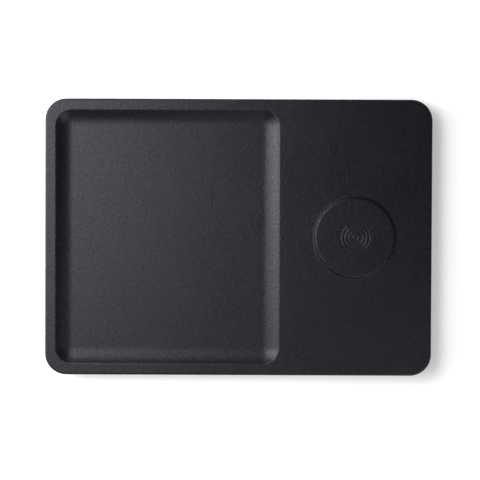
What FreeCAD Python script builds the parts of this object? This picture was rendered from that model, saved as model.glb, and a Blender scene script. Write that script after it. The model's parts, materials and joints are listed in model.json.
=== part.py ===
"""Desk tray with a wireless charging pad: a leather wrapped tray with a coved catch-all recess at its left and a flat
charging zone, marked by a debossed ring and pictogram, at its right.

The leather is stretched over a milled fibreboard core and turned under its bottom edge. A moulded module with the
charging coil, its ferrite and the circuit board sits in a pocket of the core, and a screwed base cover with a fabric
liner and four rubber feet closes the bottom. The power inlet is in the rear edge.

Frame: millimetres, +Z up, +X to the right, +Y to the rear. The origin is under the middle of the tray, on the plane
that the feet stand on.
"""

import FreeCAD
import Part

import math
import os

from FreeCAD import Vector

# ---- driving dimensions: the whole tray ----
TRAY_LENGTH = 280.0
TRAY_WIDTH = 200.0
TRAY_CORNER = 15.4
TOP_Z = 17.0
FOOT_PROUD = 1.0

# ---- leather cover ----
LEATHER = 1.0
LEATHER_EDGE = 1.4
TURN_UNDER = 12.0
TURN_UNDER_CORNER = 6.0

# ---- catch-all recess: its cove is the path of a ball of this radius ----
RECESS_LEFT = -132.8
RECESS_RIGHT = 30.0
RECESS_HALF_WIDTH = 92.4
RECESS_DEPTH = 4.2
COVE_RADIUS = 18.4

# ---- charging zone ----
COIL_X = 84.3
COIL_Y = 0.0
RING_RADIUS = 29.4
RING_WIDTH = 2.0
RING_DEPTH = 0.6
DOT_RADIUS = 1.7
WAVE_RADII = (5.05, 7.75, 10.45)
WAVE_HALF_ANGLE = 50.0
STROKE_WIDTH = 0.95
STROKE_DEPTH = 0.35

# ---- base cover, liner, feet and their screws ----
BASE_EDGE = 1.2
BASE_INSET = 2.5
BASE_Z = FOOT_PROUD
LINER_POCKET = 0.5
LINER_PROUD = 0.05
LINER_INSET = 3.0
FOOT_RADIUS = 8.0
FOOT_HEIGHT = 2.0
FOOT_X = 118.0
FOOT_Y = 78.0
BASE_SCREWS = [(-118, -30), (-118, 30), (-60, -78), (-60, 78), (20, -78), (20, 78), (120, -48), (120, 48)]

# ---- module housing, lid and circuit board, placed from the coil's centre ----
WALL = 1.5
HOUSING_GAP = 0.3
HOUSING_RADIUS = 33.2
HOUSING_HALF = 19.7
HOUSING_REAR = 96.2
HOUSING_BAY_TOP = 12.4
LID = 1.4
LID_TOP = 5.0
EARS = [(-37.5, 0.0), (37.5, 0.0), (-24.2, 60.0), (24.2, 60.0)]
EAR_RADIUS = 4.2
EAR_THICK = 1.6
LID_BOSSES = [(-20.9, -20.9), (20.9, -20.9), (-16.2, 29.4), (16.2, 29.4)]
LID_BOSS_TOP = 10.4
BOARD_Z = 6.2
BOARD = 1.2
BOARD_HALF = 17.0
BOARD_FRONT = 34.4
BOARD_REAR = 94.4
BOARD_HOLES = [(-14.2, 38.0), (14.2, 38.0), (-14.2, 84.0), (14.2, 84.0)]

# ---- coil ----
WIRE = 1.12
WIRE_PITCH = 1.175
COIL_OUTER_RADIUS = 22.0
COIL_HALF_TURNS = 20
COIL_END_ANGLE = 60.0
FERRITE_RADIUS = 26.0
FERRITE = 1.8
LEAD_DROP_Y = 28.6
LEAD_PAD_Y = 37.5

# ---- power inlet in the rear edge ----
INLET_LENGTH = 10.2
INLET_MOUTH_Y = 98.9
SHELL_WIDTH = 8.94
SHELL_HEIGHT = 3.26
SHELL_WALL = 0.3
BEZEL_WIDTH = 12.6
BEZEL_HEIGHT = 6.4
BEZEL_FACE_Y = 99.9
LAMP_X = 10.5
LAMP_RADIUS = 1.0

# ---- heights and places that follow ----
BODY_Z = BASE_Z + BASE_EDGE
CORE_Z = BODY_Z + LEATHER
CORE_TOP = TOP_Z - LEATHER
FLOOR_Z = TOP_Z - RECESS_DEPTH
COVE_CENTRE_Z = FLOOR_Z + COVE_RADIUS
LIP_REACH = math.sqrt((COVE_RADIUS + LEATHER_EDGE) ** 2 - (COVE_CENTRE_Z - TOP_Z + LEATHER_EDGE) ** 2)
HOUSING_TOP = CORE_TOP
COIL_TOP = HOUSING_TOP - WALL - 0.24
COIL_Z = COIL_TOP - WIRE / 2
FERRITE_TOP = COIL_TOP - WIRE
BAY_CEILING = HOUSING_BAY_TOP - WALL
BOARD_TOP = BOARD_Z + BOARD
INLET_Z = BOARD_TOP + SHELL_HEIGHT / 2
SPREADER = 0.8

UP = Vector(0, 0, 1)
REARWARD = Vector(0, 1, 0)
EPS = 0.01


# ---- general shapes ----
def plan_face(x0, x1, y0, y1, radius, z):
    """A flat rounded rectangle at height z."""
    r = radius
    corners = [(x1 - r, y0 + r, 270), (x1 - r, y1 - r, 0), (x0 + r, y1 - r, 90), (x0 + r, y0 + r, 180)]
    edges = []
    previous = None
    first = None
    for cx, cy, start in corners:
        points = [
            Vector(cx + r * math.cos(math.radians(a)), cy + r * math.sin(math.radians(a)), z)
            for a in (start, start + 45, start + 90)
        ]
        if previous is None:
            first = points[0]
        else:
            edges.append(Part.LineSegment(previous, points[0]).toShape())
        edges.append(Part.Arc(*points).toShape())
        previous = points[2]
    edges.append(Part.LineSegment(previous, first).toShape())
    return Part.Face(Part.Wire(edges))


def slab(x0, x1, y0, y1, radius, z0, z1):
    """An upright prism on a rounded rectangle."""
    return plan_face(x0, x1, y0, y1, radius, z0).extrude(Vector(0, 0, z1 - z0))


def centred_slab(inset, z0, z1, corner=None):
    """A slab with the tray's outline, smaller by inset all round."""
    x = TRAY_LENGTH / 2 - inset
    y = TRAY_WIDTH / 2 - inset
    return slab(-x, x, -y, y, corner or TRAY_CORNER - inset, z0, z1)


def block(x0, x1, y0, y1, z0, z1):
    return Part.makeBox(x1 - x0, y1 - y0, z1 - z0, Vector(x0, y0, z0))


def post(x, y, z0, z1, radius):
    return Part.makeCylinder(radius, z1 - z0, Vector(x, y, z0), UP)


def from_coil(x, y):
    """A place given from the coil's centre, as tray coordinates."""
    return COIL_X + x, COIL_Y + y


def local_block(x0, x1, y0, y1, z0, z1):
    """A block placed from the coil's centre."""
    return block(COIL_X + x0, COIL_X + x1, COIL_Y + y0, COIL_Y + y1, z0, z1)


def fused(solids):
    """One shape from solids that touch or overlap, with its split faces joined again."""
    shape = solids[0].multiFuse(solids[1:]) if len(solids) > 1 else solids[0]
    return shape.removeSplitter()


def level_edges(shape, z):
    """The edges of a shape that lie in the plane at height z."""
    return [e for e in shape.Edges if abs(e.BoundBox.ZMin - z) < EPS and abs(e.BoundBox.ZMax - z) < EPS]


def eased(shape, z, radius):
    """The shape with all its edges at height z rounded."""
    return shape.makeFillet(radius, level_edges(shape, z))


def stadium_rod(width, height, y0, y1, z):
    """A rod along Y with a section of two half circles and two straights, on the inlet's axis."""
    r = height / 2
    half = width / 2 - r
    middle = block(COIL_X - half, COIL_X + half, y0, y1, z - r, z + r)
    ends = [
        Part.makeCylinder(r, y1 - y0, Vector(COIL_X + side * half, y0, z), REARWARD)
        for side in (-1, 1)
    ]
    return fused([middle] + ends)


def rounded_path(points, radius):
    """A wire of straight runs joined by tangent arcs of one radius."""
    edges = []
    start = points[0]
    for before, corner, after in zip(points, points[1:], points[2:]):
        back = (before - corner).normalize()
        on = (after - corner).normalize()
        half = math.acos(max(-1.0, min(1.0, back.dot(on)))) / 2
        reach = radius / math.tan(half)
        middle = (back + on).normalize()
        entry = corner + back * reach
        leave = corner + on * reach
        inside = corner + middle * (radius / math.sin(half) - radius)
        if (entry - start).Length > EPS:
            edges.append(Part.LineSegment(start, entry).toShape())
        edges.append(Part.Arc(entry, inside, leave).toShape())
        start = leave
    edges.append(Part.LineSegment(start, points[-1]).toShape())
    return Part.Wire(edges)


def wire_solid(path, radius):
    """A round wire along a path."""
    start = path.OrderedVertexes[0].Point
    heading = path.OrderedEdges[0].tangentAt(path.OrderedEdges[0].FirstParameter)
    if (path.OrderedEdges[0].valueAt(path.OrderedEdges[0].FirstParameter) - start).Length > EPS:
        heading = path.OrderedEdges[0].tangentAt(path.OrderedEdges[0].LastParameter) * -1
    section = Part.Wire(Part.makeCircle(radius, start, heading))
    return path.makePipeShell([section], True, False)


# ---- tray body ----
def recess(offset):
    """What the catch-all recess takes away. offset grows it into the material, as under the leather."""
    r = COVE_RADIUS + offset
    floor = FLOOR_Z - offset
    top = TOP_Z - offset
    reach = math.sqrt(r**2 - (COVE_CENTRE_Z - top) ** 2)
    x0 = RECESS_LEFT + LIP_REACH
    x1 = RECESS_RIGHT - LIP_REACH
    y1 = RECESS_HALF_WIDTH - LIP_REACH
    above = top + 3
    slope = math.acos((COVE_CENTRE_Z - top) / r) / 2

    def half_section(point):
        """The edges of one side's section, from the floor up the cove and on above the rim."""
        foot = point(0, floor)
        middle = point(r * math.sin(slope), COVE_CENTRE_Z - r * math.cos(slope))
        rim = point(reach, top)
        over = point(reach, above)
        return foot, over, [Part.Arc(foot, middle, rim).toShape(), Part.LineSegment(rim, over).toShape()]

    def trough(near, far, run):
        """The section between two facing coves, run along the recess."""
        foot_a, over_a, side_a = half_section(near)
        foot_b, over_b, side_b = half_section(far)
        ends = [Part.LineSegment(foot_a, foot_b).toShape(), Part.LineSegment(over_b, over_a).toShape()]
        wire = Part.Wire(Part.__sortEdges__(side_a + side_b + ends))
        return Part.Face(wire).extrude(run)

    lengthwise = trough(
        lambda u, z: Vector(x0 - u, -y1, z), lambda u, z: Vector(x1 + u, -y1, z), Vector(0, 2 * y1, 0)
    )
    crosswise = trough(
        lambda u, z: Vector(x0, -y1 - u, z), lambda u, z: Vector(x0, y1 + u, z), Vector(x1 - x0, 0, 0)
    )
    bowls = []
    for cx in (x0, x1):
        for cy in (-y1, y1):
            foot, over, side = half_section(lambda u, z: Vector(cx + u, cy, z))
            axis_top = Vector(cx, cy, above)
            closing = [Part.LineSegment(over, axis_top).toShape(), Part.LineSegment(axis_top, foot).toShape()]
            face = Part.Face(Part.Wire(Part.__sortEdges__(side + closing)))
            bowls.append(face.revolve(Vector(cx, cy, 0), UP, 360))
    return fused([lengthwise, crosswise] + bowls)


def tray_body(offset):
    """The tray without holes: the leather's outer form, or with an offset of one leather the core's."""
    edge = LEATHER_EDGE - offset
    shape = centred_slab(offset, BODY_Z + offset, TOP_Z - offset)
    shape = eased(shape, BODY_Z + offset, edge)
    shape = eased(shape, TOP_Z - offset, edge)
    shape = shape.cut(recess(offset))
    rim = [
        e
        for e in level_edges(shape, TOP_Z - offset)
        if e.BoundBox.XMin > RECESS_LEFT - EPS
        and e.BoundBox.XMax < RECESS_RIGHT + EPS
        and max(abs(e.BoundBox.YMin), abs(e.BoundBox.YMax)) < RECESS_HALF_WIDTH + EPS
    ]
    return shape.makeFillet(edge, rim)


def groove_tool(radius, width, depth, half_angle=None, middle=0.0):
    """A round-bottomed groove on a circle about the coil's axis, whole or an arc with round ends."""
    tube = (width**2 / 4 + depth**2) / (2 * depth)
    centre = Vector(COIL_X, COIL_Y, TOP_Z - depth + tube)
    if half_angle is None:
        return Part.makeTorus(radius, tube, centre, UP)
    turn = Part.makeTorus(radius, tube, Vector(0, 0, 0), UP, 0, 360, 2 * half_angle)
    ends = [
        Part.makeSphere(tube, Vector(radius * math.cos(a), radius * math.sin(a), 0))
        for a in (0, math.radians(2 * half_angle))
    ]
    tool = turn.fuse(ends)
    tool.rotate(Vector(0, 0, 0), UP, middle - half_angle)
    tool.translate(centre)
    return tool


def marking_tools():
    """The debossed ring that shows where to put a phone, and the dot and waves inside it."""
    tools = [
        groove_tool(RING_RADIUS, RING_WIDTH, RING_DEPTH),
        groove_tool(DOT_RADIUS, STROKE_WIDTH, STROKE_DEPTH),
    ]
    for radius in WAVE_RADII:
        for middle in (0.0, 180.0):
            tools.append(groove_tool(radius, STROKE_WIDTH, STROKE_DEPTH, WAVE_HALF_ANGLE, middle))
    return tools


def inlet_cut(y0, y1):
    """The hole through the rear edge for the inlet's bezel and the lamp beside it."""
    bezel = stadium_rod(BEZEL_WIDTH + 0.2, BEZEL_HEIGHT + 0.2, y0, y1, INLET_Z)
    lamp = Part.makeCylinder(LAMP_RADIUS + 0.1, y1 - y0, Vector(COIL_X + LAMP_X, y0, INLET_Z), REARWARD)
    return [bezel, lamp]


def leather_cover():
    """One skin over the top, down the sides and turned under the core's bottom edge."""
    opening = centred_slab(TURN_UNDER, BODY_Z - 1, CORE_Z + 1, TURN_UNDER_CORNER)
    shape = tray_body(0).cut(tray_body(LEATHER)).cut(opening)
    return shape.cut(marking_tools() + inlet_cut(HOUSING_REAR, TRAY_WIDTH / 2 + 1))


def housing_outline(inset, z0, z1, disc_top=None):
    """The module's outline: a disc under the charging ring and a bay to the rear for the board."""
    disc = post(COIL_X, COIL_Y, z0, disc_top or z1, HOUSING_RADIUS - inset)
    bay = local_block(-HOUSING_HALF + inset, HOUSING_HALF - inset, 0, HOUSING_REAR - inset, z0, z1)
    return fused([disc, bay])


def ear_shape(radius, z0, z1):
    """The module's four fixing ears, each a round pad with a web to the wall beside it."""
    pieces = []
    for x, y in EARS:
        cx, cy = from_coil(x, y)
        pieces.append(post(cx, cy, z0, z1, radius))
        inner = math.copysign(abs(x) - 6.0, x)
        pieces.append(local_block(min(x, inner), max(x, inner), y - radius, y + radius, z0, z1))
    return pieces


def tray_core():
    """The fibreboard core, with the module's pocket and pilot holes for the screws."""
    shape = tray_body(LEATHER)
    pocket = [
        post(COIL_X, COIL_Y, CORE_Z - 1, CORE_TOP + 1, HOUSING_RADIUS + HOUSING_GAP),
        local_block(
            -HOUSING_HALF - HOUSING_GAP, HOUSING_HALF + HOUSING_GAP, 0, HOUSING_REAR + HOUSING_GAP,
            CORE_Z - 1, HOUSING_BAY_TOP + HOUSING_GAP,
        ),
    ]
    pocket += ear_shape(EAR_RADIUS + HOUSING_GAP, CORE_Z - 1, LID_TOP + EAR_THICK)
    pocket += inlet_cut(HOUSING_REAR, TRAY_WIDTH / 2)
    pilots = [post(x, y, CORE_Z - 1, BASE_SCREW.tip, BASE_SCREW.shank) for x, y in BASE_SCREWS]
    pilots += [post(*from_coil(x, y), CORE_Z, EAR_SCREW.tip, EAR_SCREW.shank) for x, y in EARS]
    return shape.cut(pocket).cut(pilots)


# ---- fasteners ----
class Screw:
    """A screw that points up: a head whose underside or rim is at seat, and a plain shank to tip."""

    def __init__(self, shank, head, head_height, seat, tip, sunk):
        self.shank = shank
        self.head = head
        self.head_height = head_height
        self.seat = seat
        self.tip = tip
        self.sunk = sunk

    def hole(self, x, y, clearance, to_z):
        """What the screw's head and shank need cut from the sheet that they hold."""
        through = post(x, y, self.seat - EPS, to_z, self.shank + clearance)
        if not self.sunk:
            return through
        cone = Part.makeCone(self.head, self.shank, self.head_height, Vector(x, y, self.seat), UP)
        return fused([through, cone])

    def solid(self, x, y):
        z = self.seat if self.sunk else self.seat - self.head_height
        if self.sunk:
            head = Part.makeCone(self.head, self.shank, self.head_height, Vector(x, y, z), UP)
        else:
            head = eased(post(x, y, z, self.seat, self.head), z, self.head_height * 0.45)
        shape = fused([head, post(x, y, z + self.head_height / 2, self.tip - self.shank, self.shank)])
        point = Part.makeCone(self.shank, self.shank * 0.3, self.shank, Vector(x, y, self.tip - self.shank), UP)
        shape = fused([shape, point])
        arm = self.head * 0.55
        blade = self.head * 0.11
        depth = self.head_height * 0.55
        cross = [
            block(x - a, x + a, y - b, y + b, z - 1, z + depth) for a, b in ((arm, blade), (blade, arm))
        ]
        return shape.cut(cross)


BASE_SCREW = Screw(1.45, 2.75, 1.3, BASE_Z + LINER_POCKET, 6.7, True)
EAR_SCREW = Screw(1.45, 2.7, 1.6, LID_TOP, 12.0, False)
LID_SCREW = Screw(1.0, 1.9, 0.9, LID_TOP - LID, 9.6, True)
BOARD_SCREW = Screw(1.0, 1.8, 1.05, BOARD_Z, 10.4, False)


def screw_set(screw, places):
    return Part.makeCompound([screw.solid(x, y) for x, y in places])


# ---- base ----
def base_cover():
    """A moulded plate that hides the leather's turned edge and steps up inside it to meet the core."""
    plate = centred_slab(BASE_INSET, BASE_Z, BODY_Z)
    plate = eased(plate, BASE_Z, 0.6)
    step = centred_slab(TURN_UNDER + 0.3, BODY_Z, CORE_Z, TURN_UNDER_CORNER - 0.3)
    liner = centred_slab(BASE_INSET + LINER_INSET, BASE_Z - 1, BASE_Z + LINER_POCKET)
    seats = [post(x, y, BASE_Z - 1, FOOT_HEIGHT, FOOT_RADIUS + 0.1) for x, y in foot_places()]
    holes = [BASE_SCREW.hole(x, y, 0.15, CORE_Z + 1) for x, y in BASE_SCREWS]
    return fused([plate, step]).cut([liner] + seats + holes)


def base_liner():
    """The thin fabric sheet glued into the base cover, with a hole round each foot."""
    sheet = centred_slab(BASE_INSET + LINER_INSET + 0.2, BASE_Z - LINER_PROUD, BASE_Z + LINER_POCKET)
    holes = [post(x, y, 0, BASE_Z + 1, FOOT_RADIUS + 0.5) for x, y in foot_places()]
    return sheet.cut(holes)


def foot_places():
    return [(sx * FOOT_X, sy * FOOT_Y) for sx in (-1, 1) for sy in (-1, 1)]


def foot(x, y):
    """A round rubber foot with a dished sole."""
    shape = eased(post(x, y, 0, FOOT_HEIGHT, FOOT_RADIUS), 0, 0.6)
    dish = post(x, y, -1, 0.3, FOOT_RADIUS * 0.45)
    return shape.cut(dish)


# ---- charging module ----
def module_housing():
    """The moulded cup that holds the coil against the leather and the board in its rear bay."""
    outer = housing_outline(0, LID_TOP, HOUSING_BAY_TOP, HOUSING_TOP)
    inner = housing_outline(WALL, LID_TOP - 1, BAY_CEILING, HOUSING_TOP - WALL)
    ears = ear_shape(EAR_RADIUS, LID_TOP, LID_TOP + EAR_THICK)
    shell = fused([outer] + ears).cut(inner)
    bosses = [post(*from_coil(x, y), BOARD_TOP, BAY_CEILING + WALL / 2, 2.5) for x, y in BOARD_HOLES]
    bosses += [post(*from_coil(x, y), LID_TOP, LID_BOSS_TOP, 2.6) for x, y in LID_BOSSES]
    shell = fused([shell] + bosses)
    pilots = [post(*from_coil(x, y), BOARD_TOP - 1, BOARD_SCREW.tip, BOARD_SCREW.shank) for x, y in BOARD_HOLES]
    pilots += [post(*from_coil(x, y), LID_TOP - 1, LID_SCREW.tip, LID_SCREW.shank) for x, y in LID_BOSSES]
    pilots += [post(*from_coil(x, y), LID_TOP - 1, LID_TOP + 2, EAR_SCREW.shank + 0.15) for x, y in EARS]
    inlet = stadium_rod(SHELL_WIDTH + 0.3, SHELL_HEIGHT + 0.3, BOARD_REAR, HOUSING_REAR + 1, INLET_Z)
    lamp = Part.makeCylinder(
        LAMP_RADIUS + 0.1, 3, Vector(COIL_X + LAMP_X, BOARD_REAR, INLET_Z), REARWARD
    )
    return shell.cut(pilots + [inlet, lamp])


def module_lid():
    """The flat plate that closes the housing from below."""
    plate = housing_outline(0, LID_TOP - LID, LID_TOP)
    return plate.cut([LID_SCREW.hole(*from_coil(x, y), 0.15, LID_TOP + 1) for x, y in LID_BOSSES])


def coil_centre(half_turn):
    """The centre of a half turn, on the line through the coil's ends, before it is turned into place."""
    return WIRE_PITCH / 4 * (1 if half_turn % 2 else -1)


def coil_radius(half_turn):
    """A half turn's radius. The last one reaches the coil's outer radius."""
    last = COIL_OUTER_RADIUS - WIRE / 2 - WIRE_PITCH / 4
    return last - (COIL_HALF_TURNS - 1 - half_turn) * WIRE_PITCH / 2


def coil_winding():
    """A flat spiral of stranded wire: half circles on two centres, each wider than the last by half the pitch."""
    arcs = []
    for i in range(COIL_HALF_TURNS):
        side = -1 if i % 2 else 1
        cx = coil_centre(i)
        r = coil_radius(i)
        arcs.append(Part.Arc(Vector(cx + side * r, 0, 0), Vector(cx, side * r, 0), Vector(cx - side * r, 0, 0)).toShape())
    shape = wire_solid(Part.Wire(arcs), WIRE / 2)
    shape.rotate(Vector(0, 0, 0), UP, COIL_END_ANGLE)
    shape.translate(Vector(COIL_X, COIL_Y, COIL_Z))
    return shape


def coil_end(distance):
    """A point on the line through the coil's two ends."""
    a = math.radians(COIL_END_ANGLE)
    return Vector(COIL_X + distance * math.cos(a), COIL_Y + distance * math.sin(a), COIL_Z)


def lead_run(x):
    """The way that a lead takes from behind the ferrite down to its pad on the board."""
    low = BOARD_TOP + WIRE
    return [
        Vector(x, COIL_Y + LEAD_DROP_Y, low),
        Vector(x, COIL_Y + LEAD_PAD_Y, low),
        Vector(x, COIL_Y + LEAD_PAD_Y, BOARD_TOP),
    ]


def coil_lead_outer():
    start = coil_end(coil_centre(COIL_HALF_TURNS - 1) + coil_radius(COIL_HALF_TURNS - 1))
    a = math.radians(COIL_END_ANGLE + 90)
    turn = start + Vector(math.cos(a), math.sin(a), 0) * 1.6
    points = [start, turn, Vector(turn.x, COIL_Y + LEAD_DROP_Y, COIL_Z)] + lead_run(turn.x)
    return wire_solid(rounded_path(points, 0.9), WIRE / 2)


def inner_lead_x():
    return coil_end(coil_centre(0) + coil_radius(0)).x


def coil_lead_inner():
    """The inner lead drops from the first turn and crosses under the winding in the ferrite's slot."""
    start = coil_end(coil_centre(0) + coil_radius(0))
    slot_z = FERRITE_TOP - WIRE / 2 - 0.1
    below = Vector(start.x, start.y, slot_z)
    drop = Part.makeCylinder(WIRE / 2, COIL_Z - slot_z, below, UP)
    knuckles = [Part.makeSphere(WIRE / 2, start), Part.makeSphere(WIRE / 2, below)]
    points = [below, Vector(start.x, COIL_Y + LEAD_DROP_Y, slot_z)] + lead_run(start.x)
    run = wire_solid(rounded_path(points, 0.9), WIRE / 2)
    return fused([drop, run] + knuckles).cut(coil_winding())


def coil_adhesive():
    """The double-sided ring that holds the winding to the housing's cap."""
    ring = post(COIL_X, COIL_Y, COIL_TOP, HOUSING_TOP - WALL, COIL_OUTER_RADIUS)
    return ring.cut(post(COIL_X, COIL_Y, COIL_TOP - 1, HOUSING_TOP, 10.2))


def ferrite_plate():
    """A disc of sintered ferrite with a middle hole for the thermistor and a slot for the inner lead."""
    disc = post(COIL_X, COIL_Y, FERRITE_TOP - FERRITE, FERRITE_TOP, FERRITE_RADIUS)
    hole = post(COIL_X, COIL_Y, FERRITE_TOP - FERRITE - 1, FERRITE_TOP + 1, 2.4)
    x = inner_lead_x()
    start_y = coil_end(coil_centre(0) + coil_radius(0)).y
    slot = block(x - 0.8, x + 0.8, start_y, COIL_Y + 30, FERRITE_TOP - FERRITE - 1, FERRITE_TOP + 1)
    slot_end = post(x, start_y, FERRITE_TOP - FERRITE - 1, FERRITE_TOP + 1, 0.8)
    return disc.cut([hole, slot, slot_end])


def thermistor():
    """A bead in the coil's eye, with two thin leads that go under the ferrite to the board."""
    bead = Part.makeSphere(1.0, Vector(COIL_X, COIL_Y, FERRITE_TOP + 0.1))
    low = FERRITE_TOP - FERRITE - 0.9
    leads = []
    for x in (-0.55, 0.55):
        points = [
            Vector(COIL_X + x, COIL_Y, FERRITE_TOP - 0.3),
            Vector(COIL_X + x, COIL_Y, low),
            Vector(COIL_X + x, COIL_Y + LEAD_DROP_Y, low),
            Vector(COIL_X + x, COIL_Y + LEAD_DROP_Y, BOARD_TOP + 0.8),
            Vector(COIL_X + x, COIL_Y + LEAD_PAD_Y, BOARD_TOP + 0.8),
            Vector(COIL_X + x, COIL_Y + LEAD_PAD_Y, BOARD_TOP),
        ]
        leads.append(wire_solid(rounded_path(points, 0.5), 0.2))
    return fused([bead] + leads)


def main_board():
    """The circuit board, with holes for its screws and slots for the inlet's legs."""
    x0, y0 = from_coil(-BOARD_HALF, BOARD_FRONT)
    x1, y1 = from_coil(BOARD_HALF, BOARD_REAR)
    board = slab(x0, x1, y0, y1, 1.5, BOARD_Z, BOARD_TOP)
    holes = [post(*from_coil(x, y), BOARD_Z - 1, BOARD_TOP + 1, 1.15) for x, y in BOARD_HOLES]
    slots = [leg.copy() for leg in inlet_legs(0.15)]
    return board.cut(holes + slots)


# ---- parts on the board ----
def chips(places, size_x, size_y, height):
    """Equal plain packages standing on the board."""
    return Part.makeCompound(
        [
            local_block(
                x - size_x / 2, x + size_x / 2, y - size_y / 2, y + size_y / 2, BOARD_TOP, BOARD_TOP + height
            )
            for x, y in places
        ]
    )


def chamfered_chip(x, y, size, height, edge):
    """A moulded package with bevelled top edges."""
    half = size / 2
    shape = local_block(x - half, x + half, y - half, y + half, BOARD_TOP, BOARD_TOP + height)
    return shape.makeChamfer(edge, level_edges(shape, BOARD_TOP + height))


MOSFETS = [(-9.0, 51.0), (-3.0, 51.0), (3.0, 51.0), (9.0, 51.0)]
RESONANT_CAPACITORS = [(-10.4, 44.5), (-5.2, 44.5), (0.0, 44.5), (5.2, 44.5), (10.4, 44.5)]
INPUT_CAPACITORS = [(5.5, 76.5), (5.5, 79.6), (5.5, 82.7)]
PASSIVES = [(x, y) for y in (56.6, 67.6, 71.0) for x in (-13.5, -10.8, -8.1, -5.4, 5.4, 8.1, 10.8, 13.5)]
MOSFET_HEIGHT = 1.0


def thermal_pad():
    """The soft pad from the power switches up to the heat spreader."""
    return local_block(-12, 12, 47.6, 54.4, BOARD_TOP + MOSFET_HEIGHT, BAY_CEILING - SPREADER)


def heat_spreader():
    """An aluminium sheet glued under the bay's ceiling, clear of the bosses."""
    x0, y0 = from_coil(-16, 43)
    x1, y1 = from_coil(16, 74)
    return slab(x0, x1, y0, y1, 2, BAY_CEILING - SPREADER, BAY_CEILING)


# ---- power inlet ----
def inlet_legs(grow):
    """The four legs that hold the inlet's shell in the board."""
    x = SHELL_WIDTH / 2 - SHELL_WALL
    legs = []
    for side in (-1, 1):
        near = side * (x - grow)
        far = side * (x + SHELL_WALL + grow)
        for y in (90.2, 93.0):
            legs.append(
                local_block(min(near, far), max(near, far), y - 0.5 - grow, y + 0.5 + grow, BOARD_Z - 0.5, INLET_Z)
            )
    return legs


def inlet_shell():
    """The inlet's drawn steel shell, a tube open at its mouth."""
    y0 = INLET_MOUTH_Y - INLET_LENGTH
    outer = stadium_rod(SHELL_WIDTH, SHELL_HEIGHT, y0, INLET_MOUTH_Y, INLET_Z)
    inner = stadium_rod(
        SHELL_WIDTH - 2 * SHELL_WALL, SHELL_HEIGHT - 2 * SHELL_WALL, y0 - 1, INLET_MOUTH_Y + 1, INLET_Z
    )
    return fused([outer] + inlet_legs(0)).cut(inner)


def inlet_tongue():
    """The plastic block that fills the shell's back, and the thin tongue that carries the contacts."""
    y0 = INLET_MOUTH_Y - INLET_LENGTH
    back = stadium_rod(SHELL_WIDTH - 2 * SHELL_WALL, SHELL_HEIGHT - 2 * SHELL_WALL, y0, y0 + 3.4, INLET_Z)
    tongue = local_block(-3.345, 3.345, y0 + 3.4, INLET_MOUTH_Y - 1.2, INLET_Z - 0.35, INLET_Z + 0.35)
    return fused([back, tongue])


def inlet_contacts():
    """Twelve flat contacts on each side of the tongue."""
    strips = []
    y1 = INLET_MOUTH_Y - 1.8
    for i in range(12):
        x = (i - 5.5) * 0.5
        for z0 in (INLET_Z + 0.35, INLET_Z - 0.35 - 0.05):
            strips.append(local_block(x - 0.13, x + 0.13, y1 - 4.2, y1, z0, z0 + 0.05))
    return Part.makeCompound(strips)


def port_bezel():
    """The trim that lines the hole in the leather round the inlet."""
    back = HOUSING_REAR
    outer = stadium_rod(BEZEL_WIDTH, BEZEL_HEIGHT, back, BEZEL_FACE_Y, INLET_Z)
    face = [
        e
        for e in outer.Edges
        if abs(e.BoundBox.YMin - BEZEL_FACE_Y) < EPS and abs(e.BoundBox.YMax - BEZEL_FACE_Y) < EPS
    ]
    outer = outer.makeFillet(0.4, face)
    hole = stadium_rod(SHELL_WIDTH + 0.4, SHELL_HEIGHT + 0.4, back - 1, BEZEL_FACE_Y + 1, INLET_Z)
    return outer.cut(hole)


def light_pipe():
    """The clear rod that brings the lamp's light through the rear edge, with a flange behind the housing's wall."""
    y0 = HOUSING_REAR - WALL - 0.5
    rod = Part.makeCylinder(LAMP_RADIUS, BEZEL_FACE_Y - y0, Vector(COIL_X + LAMP_X, y0, INLET_Z), REARWARD)
    flange = Part.makeCylinder(1.5, 0.5, Vector(COIL_X + LAMP_X, y0, INLET_Z), REARWARD)
    return fused([rod, flange])


def status_lamp():
    """A right-angle lamp on the board that faces the light pipe."""
    y1 = HOUSING_REAR - WALL - 0.6
    return local_block(LAMP_X - 1.2, LAMP_X + 1.2, y1 - 1.8, y1, BOARD_TOP, BOARD_TOP + 2.6)


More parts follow.
